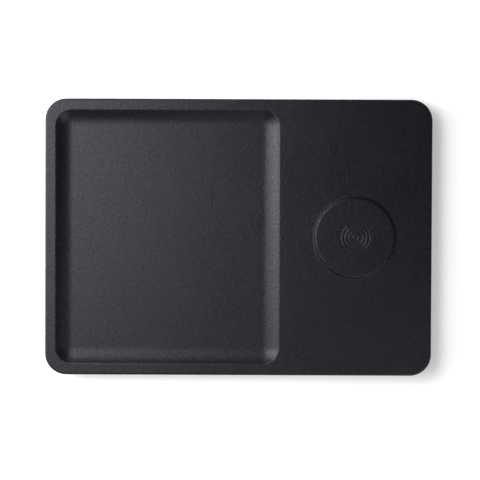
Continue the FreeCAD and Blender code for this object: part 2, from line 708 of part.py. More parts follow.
def build():
    """Every piece by the name of its node."""
    nodes = {
        "leather_cover": leather_cover(),
        "tray_core": tray_core(),
        "base_cover": base_cover(),
        "base_liner": base_liner(),
        "base_screws": screw_set(BASE_SCREW, BASE_SCREWS),
        "module_housing": module_housing(),
        "module_lid": module_lid(),
        "module_screws": screw_set(EAR_SCREW, [from_coil(x, y) for x, y in EARS]),
        "lid_screws": screw_set(LID_SCREW, [from_coil(x, y) for x, y in LID_BOSSES]),
        "board_screws": screw_set(BOARD_SCREW, [from_coil(x, y) for x, y in BOARD_HOLES]),
        "coil_winding": coil_winding(),
        "coil_lead_outer": coil_lead_outer(),
        "coil_lead_inner": coil_lead_inner(),
        "coil_adhesive": coil_adhesive(),
        "ferrite_plate": ferrite_plate(),
        "thermistor": thermistor(),
        "main_board": main_board(),
        "controller_chip": chamfered_chip(0, 62.0, 7.0, 0.9, 0.2),
        "bridge_mosfets": chips(MOSFETS, 5.0, 6.0, MOSFET_HEIGHT),
        "resonant_capacitors": chips(RESONANT_CAPACITORS, 3.2, 2.5, 2.0),
        "input_capacitors": chips(INPUT_CAPACITORS, 3.2, 1.6, 1.6),
        "buck_inductor": chamfered_chip(-5.8, 79.6, 7.0, 3.0, 0.6),
        "small_passives": chips(PASSIVES, 1.6, 0.8, 0.8),
        "thermal_pad": thermal_pad(),
        "heat_spreader": heat_spreader(),
        "inlet_shell": inlet_shell(),
        "inlet_tongue": inlet_tongue(),
        "inlet_contacts": inlet_contacts(),
        "port_bezel": port_bezel(),
        "status_lamp": status_lamp(),
        "light_pipe": light_pipe(),
    }
    corners = ["front_left", "rear_left", "front_right", "rear_right"]
    for name, (x, y) in zip(corners, foot_places()):
        nodes[f"foot_{name}"] = foot(x, y)
    return nodes


def main():
    os.makedirs("parts", exist_ok=True)
    for name, shape in build().items():
        solids = shape.Solids
        valid = shape.isValid() and all(s.isValid() and s.Volume > 0 for s in solids)
        print(f"{name}: {len(solids)} solid(s), {shape.Volume / 1000:.3f} cm3, valid {valid}")
        shape.exportStep(os.path.join("parts", f"{name}.step"))


main()
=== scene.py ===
"""Looks of the desk tray with a wireless charging pad, built round its CAD frame.

The leather cover and the fabric liner are new meshes. Every other piece is the CAD node with a
procedural material. Lengths are in metres, and the driving dimensions are written in millimetres
times MM. Only the materials' sizes and depths are in millimetres.
"""

import json
import math

import bmesh
import bpy
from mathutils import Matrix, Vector, noise
from mathutils.geometry import delaunay_2d_cdt


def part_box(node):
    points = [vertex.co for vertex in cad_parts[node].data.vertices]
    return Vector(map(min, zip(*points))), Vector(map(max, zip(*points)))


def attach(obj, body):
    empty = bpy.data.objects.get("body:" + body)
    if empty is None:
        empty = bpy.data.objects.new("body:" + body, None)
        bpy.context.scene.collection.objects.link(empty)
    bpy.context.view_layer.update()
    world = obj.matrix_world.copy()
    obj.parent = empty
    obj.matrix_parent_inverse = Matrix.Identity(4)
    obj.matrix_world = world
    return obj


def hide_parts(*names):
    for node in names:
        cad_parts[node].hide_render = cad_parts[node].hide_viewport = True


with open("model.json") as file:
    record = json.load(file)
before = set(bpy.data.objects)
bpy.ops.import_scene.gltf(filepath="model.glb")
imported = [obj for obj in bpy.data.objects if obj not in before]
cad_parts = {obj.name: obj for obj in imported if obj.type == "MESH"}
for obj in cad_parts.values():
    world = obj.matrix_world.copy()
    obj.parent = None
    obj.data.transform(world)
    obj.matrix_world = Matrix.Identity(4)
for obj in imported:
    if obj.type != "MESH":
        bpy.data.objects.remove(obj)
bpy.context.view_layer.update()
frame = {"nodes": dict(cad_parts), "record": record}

MM = 0.001

# ---- the leather's form, as the CAD model has it ----
TRAY_CORNER = 15.4 * MM
LEATHER_EDGE = 1.4 * MM
TURN_UNDER = 12.0 * MM
TURN_UNDER_CORNER = 6.0 * MM
RECESS_LEFT = -132.8 * MM
RECESS_RIGHT = 30.0 * MM
RECESS_HALF_WIDTH = 92.4 * MM
RECESS_DEPTH = 4.2 * MM
COVE_RADIUS = 18.4 * MM

# ---- the recess's lip and the debossed marks, a little softer than the CAD model's ----
LIP_EDGE = 1.8 * MM
RING_RADIUS = 29.4 * MM
RING_WALL = 0.15 * MM
RING_ROLL = 3.0 * MM
RING_ROLL_POWER = 4
RING_LIP = 0.15 * MM
RING_LIP_FALL = (0.1 * MM, 1.1 * MM)
RING_DEPTH = 0.7 * MM
MARK_BORDER = 5 * MM
DOT_RADIUS = 1.7 * MM
WAVE_RADII = (5.05 * MM, 7.75 * MM, 10.45 * MM)
WAVE_HALF_ANGLE = math.radians(50)
STROKE_HALF_WIDTH = 0.47 * MM
STROKE_DEPTH = 0.16 * MM

# ---- how finely the leather and the liner are divided ----
CORNER_STEPS = 28
TURN_UNDER_STEPS = 5
SIDE_STEPS = 9
OUTER_STEPS = (176, 120)
RECESS_STEPS = (180, 208)
RING_STEPS = 384
EDGE_STEPS = 7
COVE_STEPS = 22
SUPPORT = 0.4 * MM
TOP_SPACING = 2.6 * MM
LINER_STEPS = (120, 84)
FOOT_HOLE_STEPS = 72
SCREW_STEPS = 20
BEZEL_HOLE_STEPS = 48
PIPE_HOLE_STEPS = 24

# ---- the port's holes in the rear side, and how far their patch reaches past them ----
BEZEL_GAP = 0.1 * MM
PIPE_HOLE_RADIUS = 1.1 * MM
PATCH_PAST_PORT = 13 * MM
PATCH_PAST_PIPE = 6 * MM

# ---- unevenness of the leather, each as (length, height) ----
FINE_WRINKLE = (2.0 * MM, 0.034 * MM)
BROAD_WRINKLE = (17 * MM, 0.018 * MM)
FINE_SWELL = (9 * MM, 0.012 * MM)
BROAD_SWELL = (38 * MM, 0.035 * MM)
SWELL_DROP = 0.045 * MM

# ---- leather gathered under the corners, and what shows through the liner ----
GATHERS = 7
GATHER_DEPTH = 0.24 * MM
GATHER_HEIGHT = 7.0 * MM
FOOT_HOLE_GAP = 0.5 * MM
LINER_FRAY = 0.12 * MM
SCREW_HEAD_RADIUS = 2.75 * MM
SCREW_DIMPLE = 0.1 * MM
FOOT_CLEARANCE = 11 * MM
BASE_SCREWS = [
    (-118, -30), (-118, 30), (-60, -78), (-60, 78),
    (20, -78), (20, 78), (120, -48), (120, 48),
]
FEET = ("foot_front_left", "foot_rear_left", "foot_front_right", "foot_rear_right")

# ---- places from the frame ----
cover_low, cover_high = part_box("leather_cover")
core_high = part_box("tray_core")[1]
ferrite_low, ferrite_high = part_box("ferrite_plate")
bezel_low, bezel_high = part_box("port_bezel")
pipe_low, pipe_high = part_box("light_pipe")
liner_low, liner_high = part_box("base_liner")
HALF_LENGTH = cover_high.x
HALF_WIDTH = cover_high.y
TOP_Z = cover_high.z
BODY_Z = cover_low.z
LEATHER = cover_high.z - core_high.z
COIL = (ferrite_low + ferrite_high) / 2
PORT = (bezel_low + bezel_high) / 2
PIPE = (pipe_low + pipe_high) / 2
COVE_CENTRE_Z = TOP_Z - RECESS_DEPTH + COVE_RADIUS
LIP_REACH = math.sqrt((COVE_RADIUS + LIP_EDGE) ** 2 - (COVE_CENTRE_Z - TOP_Z + LIP_EDGE) ** 2)
LIP_ANGLE = math.atan2(LIP_REACH, COVE_CENTRE_Z - TOP_Z + LIP_EDGE)
FLOOR_X = (RECESS_LEFT + LIP_REACH, RECESS_RIGHT - LIP_REACH)
FLOOR_Y = (LIP_REACH - RECESS_HALF_WIDTH, RECESS_HALF_WIDTH - LIP_REACH)


# ---- meshes ----
def spread(start, end, count):
    """count + 1 even values from start to end."""
    return [start + (end - start) * i / count for i in range(count + 1)]


def smooth(low, high, value):
    """0 below low and 1 above high, with an easy slope between."""
    t = min(1.0, max(0.0, (value - low) / (high - low)))
    return t * t * (3 - 2 * t)


def bowed(x, y):
    """A place moved so that straight borders bulge. A flat filling goes wrong on points in a line."""
    return Vector((x * (1 - 4 * y * y), y * (1 - 4 * x * x)))


class Skin:
    """Points and faces of one mesh, from rows and flat fillings that share their border points."""

    def __init__(self):
        self.points = []
        self.faces = []

    def add(self, points):
        """Keeps the points and returns their numbers."""
        first = len(self.points)
        self.points.extend(Vector(p) for p in points)
        return list(range(first, len(self.points)))

    def face(self, corners):
        kept = [c for i, c in enumerate(corners) if c != corners[i - 1]]
        if len(kept) > 2:
            self.faces.append(kept)

    def join(self, row, following, skip=()):
        """Faces between two closed rows, apart from the columns to skip."""
        for i, (a, b) in enumerate(zip(row, following)):
            if i not in skip:
                j = (i + 1) % len(row)
                self.face([a, row[j], following[j], b])

    def fill(self, borders, inner, plane):
        """Triangles inside the first border, through inner. The other borders are convex holes."""
        numbers = []
        owners = []
        edges = []
        for owner, border in enumerate(borders):
            first = len(numbers)
            numbers += border
            owners += [owner] * len(border)
            edges += [(first + i, first + (i + 1) % len(border)) for i in range(len(border))]
        numbers += inner
        owners += [0] * len(inner)
        flat = [bowed(*plane(self.points[n])) for n in numbers]
        made = delaunay_2d_cdt(flat, edges, [], 1, 1e-9)
        for corners in made[2]:
            found = [made[3][k][0] for k in corners]
            in_hole = owners[found[0]] > 0 and len({owners[k] for k in found}) == 1
            if not in_hole:
                self.face([numbers[k] for k in found])

    def piece(self, name, material):
        """The finished object, with its faces turned outwards and shaded smooth."""
        mesh = bpy.data.meshes.new(name)
        mesh.from_pydata([tuple(p) for p in self.points], [], self.faces)
        work = bmesh.new()
        work.from_mesh(mesh)
        bmesh.ops.delete(work, geom=[v for v in work.verts if not v.link_faces], context="VERTS")
        bmesh.ops.remove_doubles(work, verts=work.verts, dist=1e-7)
        bmesh.ops.recalc_face_normals(work, faces=work.faces)
        work.to_mesh(mesh)
        work.free()
        mesh.shade_smooth()
        mesh.set_sharp_from_angle(angle=math.radians(50))
        mesh.materials.append(material)
        made = bpy.data.objects.new(name, mesh)
        bpy.context.scene.collection.objects.link(made)
        return made


def rounded_loop(x_range, y_range, radius, steps, z):
    """A level rounded rectangle, counterclockwise from its front right corner.

    It has the same number of points for any radius.
    """
    x0, x1 = x_range
    y0, y1 = y_range
    centres = [(x1 - radius, y0 + radius), (x1 - radius, y1 - radius), (x0 + radius, y1 - radius)]
    centres.append((x0 + radius, y0 + radius))
    counts = (steps[1], steps[0], steps[1], steps[0])
    points = []
    for side, (cx, cy) in enumerate(centres):
        start = math.radians(-90 + 90 * side)
        for angle in spread(start, start + math.pi / 2, CORNER_STEPS):
            points.append(Vector((cx + radius * math.cos(angle), cy + radius * math.sin(angle), z)))
        nx, ny = centres[(side + 1) % 4]
        end = start + math.pi / 2
        goal = Vector((nx + radius * math.cos(end), ny + radius * math.sin(end), z))
        leave = points[-1].copy()
        points += [leave.lerp(goal, i / counts[side]) for i in range(1, counts[side])]
    return points


def outer_loop(inset, z, radius=None):
    x = HALF_LENGTH - inset
    y = HALF_WIDTH - inset
    return rounded_loop((-x, x), (-y, y), radius or TRAY_CORNER - inset, OUTER_STEPS, z)


def recess_loop(reach, z):
    x_range = (FLOOR_X[0] - reach, FLOOR_X[1] + reach)
    y_range = (FLOOR_Y[0] - reach, FLOOR_Y[1] + reach)
    return rounded_loop(x_range, y_range, reach, RECESS_STEPS, z)


def circle(centre, radius, count, z):
    angles = [math.tau * i / count for i in range(count)]
    return [(centre.x + radius * math.cos(a), centre.y + radius * math.sin(a), z) for a in angles]


# ---- leather cover ----
def edge_rows(inner):
    """Rows from the turned-under edge out, up the side and over the top edge.

    inner is 0 for the outer face and the leather's thickness for the inner one.
    """
    rows = []
    easy = LEATHER_EDGE - inner
    for share in spread(0, 1, TURN_UNDER_STEPS)[:-1]:
        inset = TURN_UNDER + (LEATHER_EDGE - TURN_UNDER) * share
        radius = TURN_UNDER_CORNER + (TRAY_CORNER - LEATHER_EDGE - TURN_UNDER_CORNER) * share
        rows.append(outer_loop(inset, BODY_Z + inner, radius))
    for angle in spread(0, math.pi / 2, EDGE_STEPS):
        z = BODY_Z + LEATHER_EDGE - easy * math.cos(angle)
        rows.append(outer_loop(LEATHER_EDGE - easy * math.sin(angle), z))
    for z in spread(BODY_Z + LEATHER_EDGE, TOP_Z - LEATHER_EDGE, SIDE_STEPS)[1:-1]:
        rows.append(outer_loop(inner, z))
    for angle in spread(0, math.pi / 2, EDGE_STEPS):
        z = TOP_Z - LEATHER_EDGE + easy * math.sin(angle)
        rows.append(outer_loop(LEATHER_EDGE - easy * math.cos(angle), z))
    rows.append(outer_loop(LEATHER_EDGE + SUPPORT, TOP_Z - inner))
    return rows


def cove_rows(inner):
    """Rows from the top over the lip and down the cove to the recess's floor."""
    easy = LIP_EDGE - inner
    rows = [recess_loop(LIP_REACH + SUPPORT, TOP_Z - inner)]
    for angle in spread(0, LIP_ANGLE, EDGE_STEPS):
        z = TOP_Z - LIP_EDGE + easy * math.cos(angle)
        rows.append(recess_loop(LIP_REACH - easy * math.sin(angle), z))
    for angle in spread(LIP_ANGLE, 0, COVE_STEPS)[1:]:
        reach = (COVE_RADIUS + inner) * math.sin(angle)
        rows.append(recess_loop(reach, COVE_CENTRE_Z - (COVE_RADIUS + inner) * math.cos(angle)))
    return rows


def pull_wrinkle(along, share):
    """Creases that run down the cove where the leather was stretched, strongest in its middle."""
    fine = FINE_WRINKLE[1] * noise.noise(Vector((along / FINE_WRINKLE[0], share * 1.2, 3)))
    broad = BROAD_WRINKLE[1] * noise.noise(Vector((along / BROAD_WRINKLE[0], share * 0.7, 12)))
    return (fine + broad) * math.sin(math.pi * share) ** 0.7


def wrinkle_cove(rows):
    """Moves the cove's rows along their own slope's normal by the pull wrinkles."""
    first = EDGE_STEPS + 1
    last = len(rows) - 1
    middle = rows[(first + last) // 2]
    for i in range(first, last):
        share = (i - first) / (last - first)
        along = 0.0
        for j, point in enumerate(rows[i]):
            along += (middle[j] - middle[j - 1]).length
            down = (rows[i + 1][j] - rows[i - 1][j]).normalized()
            side = (rows[i][(j + 1) % len(rows[i])] - rows[i][j - 1]).normalized()
            point += down.cross(side) * pull_wrinkle(along, share)


def ring_height(r):
    """The ring's section: the disc rolls down to a steep wall, whose top stands up a little."""
    off = r - RING_RADIUS - RING_WALL
    if off <= 0:
        return -RING_DEPTH * max(0.0, 1 + off / RING_ROLL) ** RING_ROLL_POWER
    return RING_LIP * (1 - smooth(*RING_LIP_FALL, off))


def stroke_distance(r, angle):
    """How far a place is from the pictogram's nearest line: a small ring, three arcs on each side."""
    nearest = abs(r - DOT_RADIUS)
    turned = abs(math.remainder(angle, math.pi))
    for radius in WAVE_RADII:
        if turned <= WAVE_HALF_ANGLE:
            reach = abs(r - radius)
        else:
            reach = math.hypot(
                r * math.cos(turned) - radius * math.cos(WAVE_HALF_ANGLE),
                r * math.sin(turned) - radius * math.sin(WAVE_HALF_ANGLE),
            )
        nearest = min(nearest, reach)
    return nearest


def stroke_height(r, angle):
    off = stroke_distance(r, angle)
    return -STROKE_DEPTH * (1 - smooth(STROKE_HALF_WIDTH * 0.1, STROKE_HALF_WIDTH * 1.6, off))


def mark_radii():
    """Radii from outside the ring to the centre, close together where something is pressed in."""
    wall = RING_RADIUS + RING_WALL
    radii = spread(wall + MARK_BORDER, wall + 1.3 * MM, 4)
    radii += spread(wall + 1.1 * MM, wall + 0.08 * MM, 12)
    radii += spread(wall, wall - RING_ROLL, 32)
    radii += spread(RING_RADIUS - MARK_BORDER, WAVE_RADII[-1] + 2.6 * MM, 7)
    radii += spread(WAVE_RADII[-1] + 1.6 * MM, 0.15 * MM, 74)
    return radii


def add_marks(skin):
    """The charging zone's disc with its marks. Returns its outermost row."""
    rows = []
    for r in mark_radii():
        points = []
        for i, (x, y, z) in enumerate(circle(COIL, r, RING_STEPS, TOP_Z)):
            rise = ring_height(r)
            if r < WAVE_RADII[-1] + 2 * MM:
                rise += stroke_height(r, math.tau * i / RING_STEPS)
            points.append((x, y, z + rise))
        rows.append(skin.add(points))
    for row, following in zip(rows, rows[1:]):
        skin.join(row, following)
    skin.faces.append(list(reversed(rows[-1])))
    return rows[0]


def port_outlines(y):
    """The holes in the rear side for the inlet's bezel and the lamp's clear rod, at depth y."""
    half = (bezel_high - bezel_low) / 2 + Vector((BEZEL_GAP,) * 3)
    straight = half.x - half.z
    stadium = []
    for i in range(BEZEL_HOLE_STEPS):
        angle = math.tau * (i + 0.5) / BEZEL_HOLE_STEPS
        x = math.copysign(straight, math.cos(angle)) + half.z * math.cos(angle)
        stadium.append((PORT.x + x, y, PORT.z + half.z * math.sin(angle)))
    centre = Vector((PIPE.x, PIPE.z, 0))
    flat_rod = circle(centre, PIPE_HOLE_RADIUS, PIPE_HOLE_STEPS, y)
    return [stadium, [(x, depth, z) for x, z, depth in flat_rod]]


def port_columns(row):
    """The columns of the rear side that the port's patch takes the place of."""
    low = PORT.x - PATCH_PAST_PORT
    high = PIPE.x + PATCH_PAST_PIPE
    rear = HALF_WIDTH - 2 * LEATHER_EDGE
    following = row[1:] + row[:1]
    return [
        i
        for i, (point, after) in enumerate(zip(row, following))
        if point.y > rear and low < point.x < high and low < after.x < high
    ]


def add_side(skin, inner):
    """The rows of edge_rows, with the port's holes in the rear side.

    Returns the first row, the last row and the holes.
    """
    loops = edge_rows(inner)
    rows = [skin.add(loop) for loop in loops]
    first = TURN_UNDER_STEPS + EDGE_STEPS
    last = first + SIDE_STEPS
    columns = port_columns(loops[first])
    for i, (row, following) in enumerate(zip(rows, rows[1:])):
        skin.join(row, following, columns if first <= i < last else ())
    ends = columns + [columns[-1] + 1]
    border = [rows[first][c] for c in ends]
    border += [rows[i][ends[-1]] for i in range(first + 1, last)]
    border += [rows[last][c] for c in reversed(ends)]
    border += [rows[i][ends[0]] for i in range(last - 1, first, -1)]
    holes = [skin.add(outline) for outline in port_outlines(HALF_WIDTH - inner)]
    skin.fill([border] + holes, [], lambda p: (p.x, p.z))
    return rows[0], rows[-1], holes


def top_points(skin):
    """Loose points over the flat top, so that it can follow small unevenness."""
    found = []
    rim = LEATHER_EDGE + SUPPORT + TOP_SPACING * 0.6
    ring = RING_RADIUS + RING_WALL + MARK_BORDER + TOP_SPACING * 0.6
    wide = LIP_REACH + SUPPORT + TOP_SPACING * 0.6
    columns = int(2 * HALF_LENGTH / TOP_SPACING)
    rows = int(2 * HALF_WIDTH / TOP_SPACING)
    for i in range(columns):
        for j in range(rows):
            x = -HALF_LENGTH + TOP_SPACING * (i + 0.5 * (j % 2))
            y = -HALF_WIDTH + TOP_SPACING * j
            across = max(abs(x) - HALF_LENGTH + TRAY_CORNER, 0.0)
            along = max(abs(y) - HALF_WIDTH + TRAY_CORNER, 0.0)
            if math.hypot(across, along) > TRAY_CORNER - rim:
                continue
            past_x = max(FLOOR_X[0] - x, x - FLOOR_X[1], 0.0)
            past_y = max(FLOOR_Y[0] - y, y - FLOOR_Y[1], 0.0)
            if math.hypot(past_x, past_y) < wide or math.hypot(x - COIL.x, y - COIL.y) < ring:
                continue
            found.append((x, y, TOP_Z))
    return skin.add(found)


def add_floor(skin, border):
    """A grid over the recess's floor. border is the cove's last row, with single points as corners."""
    nx, ny = RECESS_STEPS
    right = CORNER_STEPS
    top = right + ny + CORNER_STEPS
    left = top + nx + CORNER_STEPS
    bottom = left + ny + CORNER_STEPS
    z = skin.points[border[0]].z
    lines = []
    for j, y in enumerate(spread(FLOOR_Y[0], FLOOR_Y[1], ny)):
        if j == 0:
            line = [border[(bottom + i) % len(border)] for i in range(nx + 1)]
        elif j == ny:
            line = [border[top + nx - i] for i in range(nx + 1)]
        else:
            middle = skin.add([(x, y, z) for x in spread(FLOOR_X[0], FLOOR_X[1], nx)[1:-1]])
            line = [border[left + ny - j]] + middle + [border[right + j]]
        lines.append(line)
    for line, following in zip(lines, lines[1:]):
        for i in range(nx):
            skin.face([line[i], line[i + 1], following[i + 1], following[i]])


def uneven(point):
    """A slight unevenness of leather over a board, set so low that it hardly adds to the height."""
    broad = BROAD_SWELL[1] * noise.noise(point / BROAD_SWELL[0])
    fine = FINE_SWELL[1] * noise.noise(point / FINE_SWELL[0] + Vector((5, 1, 7)))
    return broad + fine - SWELL_DROP


def gather(point):
    """How the leather is puckered round a lower corner, where it was pulled under."""
    across = abs(point.x) - HALF_LENGTH + TRAY_CORNER
    along = abs(point.y) - HALF_WIDTH + TRAY_CORNER
    if across <= 0 or along <= 0:
        return Vector((0, 0, 0))
    angle = math.atan2(along, across)
    ripple = 0.5 - 0.5 * math.cos(4 * GATHERS * angle + 0.8 * math.sin(5 * angle + point.x))
    low = 1 - smooth(BODY_Z + LEATHER_EDGE, BODY_Z + GATHER_HEIGHT, point.z)
    depth = GATHER_DEPTH * ripple * low * math.sqrt(math.sin(2 * angle))
    outward = Vector((math.copysign(across, point.x), math.copysign(along, point.y), 0)).normalized()
    lift = 1 - smooth(BODY_Z, BODY_Z + LEATHER_EDGE, point.z)
    return Vector((0, 0, depth * lift)) - outward * depth * (1 - lift)


def leather_cover(material):
    """The leather as one closed skin, 1 mm thick, with its marks, coves and wrinkles."""
    skin = Skin()
    under, rim, holes = add_side(skin, 0.0)
    coves = cove_rows(0.0)
    wrinkle_cove(coves)
    cove_numbers = [skin.add(loop) for loop in coves]
    for row, following in zip(cove_numbers, cove_numbers[1:]):
        skin.join(row, following)
    add_floor(skin, cove_numbers[-1])
    marks = add_marks(skin)
    skin.fill([rim, cove_numbers[0], marks], top_points(skin), lambda p: (p.x, p.y))
    for point in skin.points:
        if point.z > BODY_Z + 3 * LEATHER_EDGE:
            point.z += uneven(point)
        if point.z < BODY_Z + GATHER_HEIGHT:
            point += gather(point)

    inside_under, inside_rim, inside_holes = add_side(skin, LEATHER)
    inside = [skin.add(loop) for loop in cove_rows(LEATHER)]
    for row, following in zip(inside, inside[1:]):
        skin.join(row, following)
    add_floor(skin, inside[-1])
    skin.fill([inside_rim, inside[0]], [], lambda p: (p.x, p.y))
    skin.join(under, inside_under)
    for outline, inside_outline in zip(holes, inside_holes):
        skin.join(outline, inside_outline)
    return skin.piece("leather_skin", material)


# ---- fabric liner ----
def frayed(rows, side):
    """Moves an edge's columns a little into the cloth, so that the cut isn't dead straight."""
    border = rows[0]
    for j in range(len(border)):
        run = border[(j + 1) % len(border)] - border[j - 1]
        inward = Vector((-run.y, run.x, 0)).normalized() * side
        fray = LINER_FRAY * (0.5 + 0.5 * noise.noise(border[j] / (2.2 * MM)))
        for row in rows:
            row[j] = row[j] + inward * fray
    return rows


def cloth_edge(outline):
    """Rows down the cut edge of the cloth and round into its lower face.

    outline gives a loop from its inset and z.
    """
    easy = (liner_high.z - liner_low.z) * 0.8
    rows = [outline(0.0, liner_high.z)]
    for angle in spread(0, math.pi / 2, 5):
        z = liner_low.z + easy * (1 - math.sin(angle))
        rows.append(outline(easy * (1 - math.cos(angle)), z))
    rows.append(outline(easy + SUPPORT, liner_low.z))
    return rows


def liner_outline(inset, z):
    x = liner_high.x - inset
    y = liner_high.y - inset
    radius = TRAY_CORNER - (HALF_LENGTH - liner_high.x) - inset
    return rounded_loop((-x, x), (-y, y), radius, LINER_STEPS, z)


def foot_hole(name):
    """The outlines of the hole round a foot."""
    low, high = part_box(name)
    radius = (high.x - low.x) / 2 + FOOT_HOLE_GAP
    centre = (low + high) / 2
    return lambda inset, z: [Vector(p) for p in circle(centre, radius + inset, FOOT_HOLE_STEPS, z)]


def screw_places():
    return [Vector((x * MM, y * MM, liner_low.z)) for x, y in BASE_SCREWS]


def liner_points(centres):
    """Loose points over the liner: rings round each screw, and a grid elsewhere."""
    found = []
    for screw in screw_places():
        for share in (0.3, 0.6, 0.85, 1.1, 1.5):
            found += circle(screw, SCREW_HEAD_RADIUS * share, SCREW_STEPS, liner_low.z)
    columns = int(2 * liner_high.x / TOP_SPACING)
    rows = int(2 * liner_high.y / TOP_SPACING)
    corner = TRAY_CORNER - (HALF_LENGTH - liner_high.x)
    ringed = SCREW_HEAD_RADIUS * 1.9
    for i in range(columns):
        for j in range(rows):
            x = -liner_high.x + TOP_SPACING * (i + 0.5 * (j % 2))
            y = -liner_high.y + TOP_SPACING * j
            across = max(abs(x) - liner_high.x + corner, 0.0)
            along = max(abs(y) - liner_high.y + corner, 0.0)
            inside = math.hypot(across, along) < corner - TOP_SPACING
            past_screws = all(math.hypot(x - s.x, y - s.y) >= ringed for s in screw_places())
            past_feet = all(math.hypot(x - c.x, y - c.y) >= FOOT_CLEARANCE for c in centres)
            if inside and past_screws and past_feet:
                found.append((x, y, liner_low.z))
    return found


def liner_relief(point):
    """The cloth's slight unevenness, and the dimples where it lies over the screws' heads."""
    rise = 0.02 * MM * (1 + noise.noise(point / (11 * MM)))
    for screw in screw_places():
        reach = math.hypot(point.x - screw.x, point.y - screw.y)
        share = reach / SCREW_HEAD_RADIUS
        rise += SCREW_DIMPLE * (1 - smooth(0.45, 1.15, share))
    return rise


def base_liner(material):
    """The cloth glued into the base: a closed sheet with soft cut edges and a hole for each foot."""
    skin = Skin()
    edges = [frayed(cloth_edge(liner_outline), 1)]
    edges += [frayed(cloth_edge(foot_hole(name)), -1) for name in FEET]
    numbers = [[skin.add(row) for row in rows] for rows in edges]
    for rows in numbers:
        for row, following in zip(rows, rows[1:]):
            skin.join(row, following)
    centres = [sum(rows[0], Vector()) / FOOT_HOLE_STEPS for rows in edges[1:]]
    inner = skin.add(liner_points(centres))
    skin.fill([rows[-1] for rows in numbers], inner, lambda p: (p.x, p.y))
    skin.fill([rows[0] for rows in numbers], [], lambda p: (p.x, p.y))
    for number in inner:
        skin.points[number].z += liner_relief(skin.points[number])
    return skin.piece("liner_cloth", material)


# ---- materials ----
class Shader:
    """A material under construction: its nodes, and coordinates in millimetres."""

    def __init__(self, name):
        self.material = bpy.data.materials.new(name)
        self.material.use_nodes = True
        self.nodes = self.material.node_tree.nodes
        self.links = self.material.node_tree.links
        self.surface = self.nodes["Principled BSDF"]
        metres = self.nodes.new("ShaderNodeTexCoord").outputs["Object"]
        self.place = self.add(
            "ShaderNodeVectorMath", {0: metres, 1: (1 / MM,) * 3}, operation="MULTIPLY"
        ).outputs[0]

    def add(self, kind, inputs=None, **settings):
        """A new node. inputs gives, by name or number, each socket's value or the output that feeds it."""
        made = self.nodes.new(kind)
        for key, value in settings.items():
            setattr(made, key, value)
        for key, value in (inputs or {}).items():
            if isinstance(value, bpy.types.NodeSocket):
                self.links.new(value, made.inputs[key])
            else:
                made.inputs[key].default_value = value
        return made

    def set(self, **values):
        """Plain numbers and colours of the surface, by socket names with _ for a space."""
        for key, value in values.items():
            self.surface.inputs[key.replace("_", " ")].default_value = value

    def stretched(self, scale):
        """The coordinates, stretched by a factor on each axis."""
        made = self.add("ShaderNodeVectorMath", {0: self.place, 1: scale}, operation="MULTIPLY")
        return made.outputs[0]

    def noise(self, size, detail=3.0, rough=0.5, place=None):
        """Noise from 0 to 1 with features of about size millimetres."""
        return self.add(
            "ShaderNodeTexNoise",
            {"Vector": place or self.place, "Scale": 1 / size, "Detail": detail, "Roughness": rough},
        ).outputs["Fac"]

    def cells(self, size, feature="F1", place=None, random=1.0):
        """Distances in a pattern of cells of about size millimetres."""
        made = self.add(
            "ShaderNodeTexVoronoi",
            {"Vector": place or self.place, "Scale": 1 / size, "Randomness": random},
            feature=feature,
        )
        return made.outputs["Distance"]

    def ramp(self, value, low, high, to_low=0.0, to_high=1.0):
        """value from low to high becomes to_low to to_high, and stops there."""
        return self.add(
            "ShaderNodeMapRange",
            {"Value": value, "From Min": low, "From Max": high, "To Min": to_low, "To Max": to_high},
        ).outputs["Result"]

    def sum(self, first, second, share=1.0):
        """first plus second times share."""
        made = self.add("ShaderNodeMath", {0: second, 1: share, 2: first}, operation="MULTIPLY_ADD")
        return made.outputs[0]

    def blend(self, share, first, second):
        """A colour from first to second."""
        made = self.add("ShaderNodeMix", {0: share}, data_type="RGBA")
        for socket, colour in ((made.inputs[6], first), (made.inputs[7], second)):
            if isinstance(colour, bpy.types.NodeSocket):
                self.links.new(colour, socket)
            else:
                socket.default_value = (*colour, 1.0)
        return made.outputs[2]

    def colour(self, socket):
        self.links.new(socket, self.surface.inputs["Base Color"])

    def roughness(self, socket):
        self.links.new(socket, self.surface.inputs["Roughness"])

    def bump(self, height, depth):
        """Relief of depth millimetres where height goes from 0 to 1."""
        made = self.add("ShaderNodeBump", {"Height": height, "Distance": depth * MM, "Strength": 1.0})
        self.links.new(made.outputs[0], self.surface.inputs["Normal"])


LEATHER_ROUGHNESS = 0.27
LEATHER_SPECULAR = 0.287
LEATHER_GLOSS_TINT = (0.905, 0.885, 1.0, 1.0)
GRAIN_DEPTH = 0.022
HOLLOW_DEPTH = 0.16


def warped(shader, size, amount):
    """Coordinates pushed about by noise, so that a pattern of cells looks grown."""
    push = shader.add(
        "ShaderNodeTexNoise", {"Vector": shader.place, "Scale": 1 / size, "Detail": 2.0}
    ).outputs["Color"]
    return shader.add(
        "ShaderNodeVectorMath", {0: push, 1: (amount,) * 3, 2: shader.place}, operation="MULTIPLY_ADD"
    ).outputs[0]


